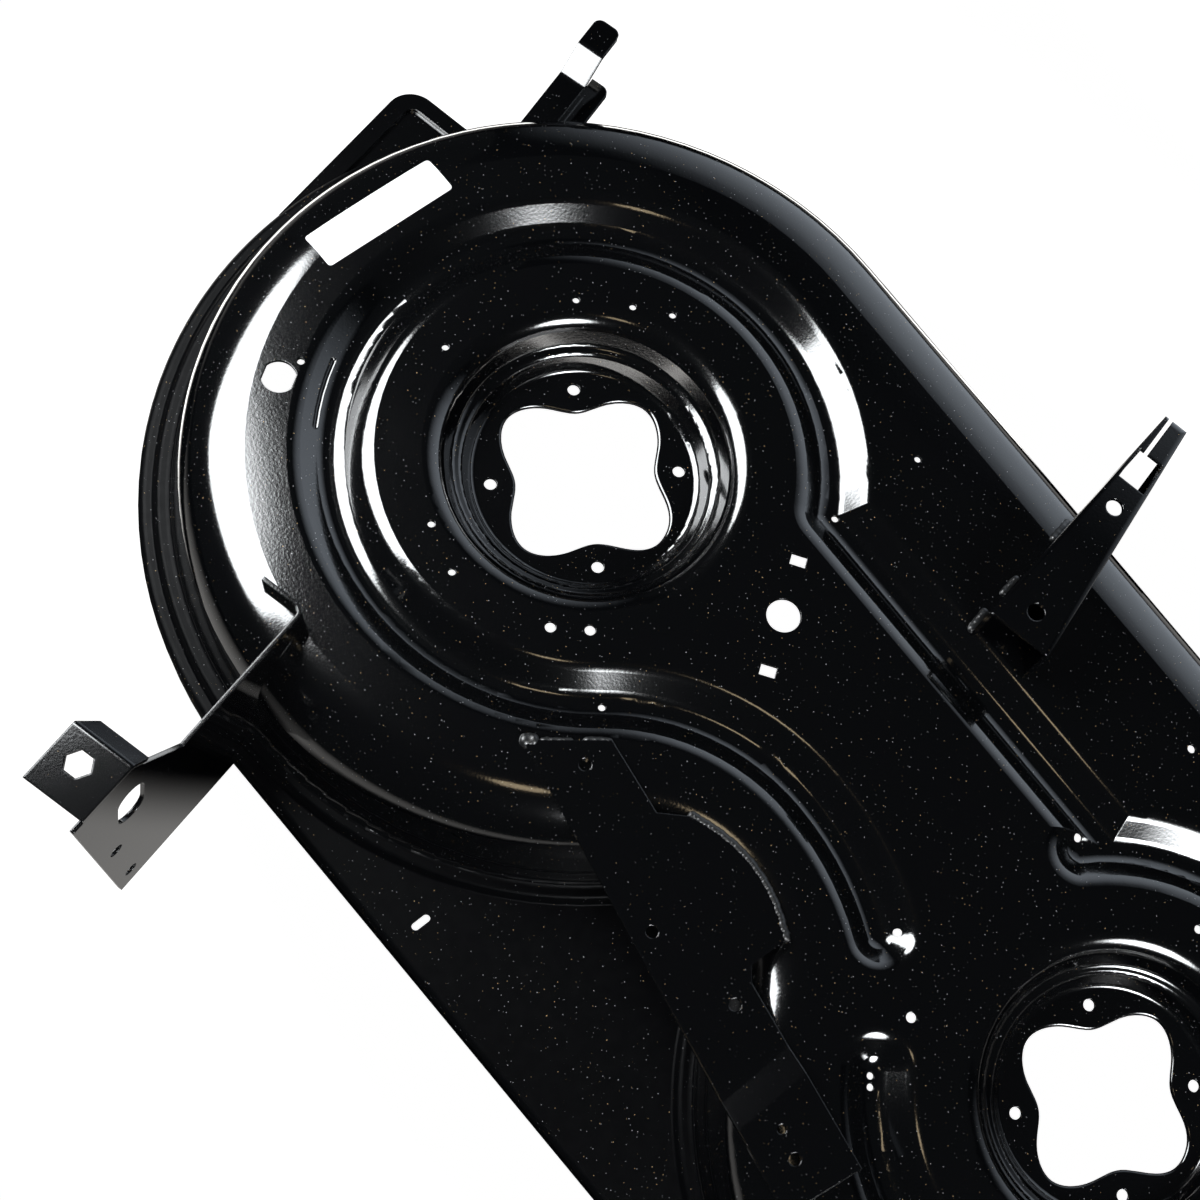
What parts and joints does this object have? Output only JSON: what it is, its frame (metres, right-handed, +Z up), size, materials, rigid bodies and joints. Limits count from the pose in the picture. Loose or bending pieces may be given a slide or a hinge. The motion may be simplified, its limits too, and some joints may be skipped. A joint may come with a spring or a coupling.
{
  "type": "lawn mower deck",
  "caption": "Lawn tractor mower deck: pressed steel shell with stamped grooves, stepped spindle cups with star holes, a bridge strap over the rear valley and welded hanger brackets.",
  "frame": {"origin": "centre of the left spindle seat, on the upper face of the sheet", "axes": "+X along the spindle line to the right spindle, +Y to the front of the deck, +Z up"},
  "size_m": [1.1705, 0.7342, 0.191],
  "materials": {
    "black_paint": "glossy black powder coat",
    "white_vinyl": "plain white vinyl film"
  },
  "bodies": {
    "root": {"deck_shell": "black_paint", "bridge_strap": "black_paint", "front_hanger_channel": "black_paint", "left_hanger_arm": "black_paint", "left_hanger_angle": "black_paint", "right_hanger_arm": "black_paint", "right_hanger_angle": "black_paint", "corner_hook_bracket": "black_paint", "side_plate": "black_paint"}
  },
  "joints": []
}
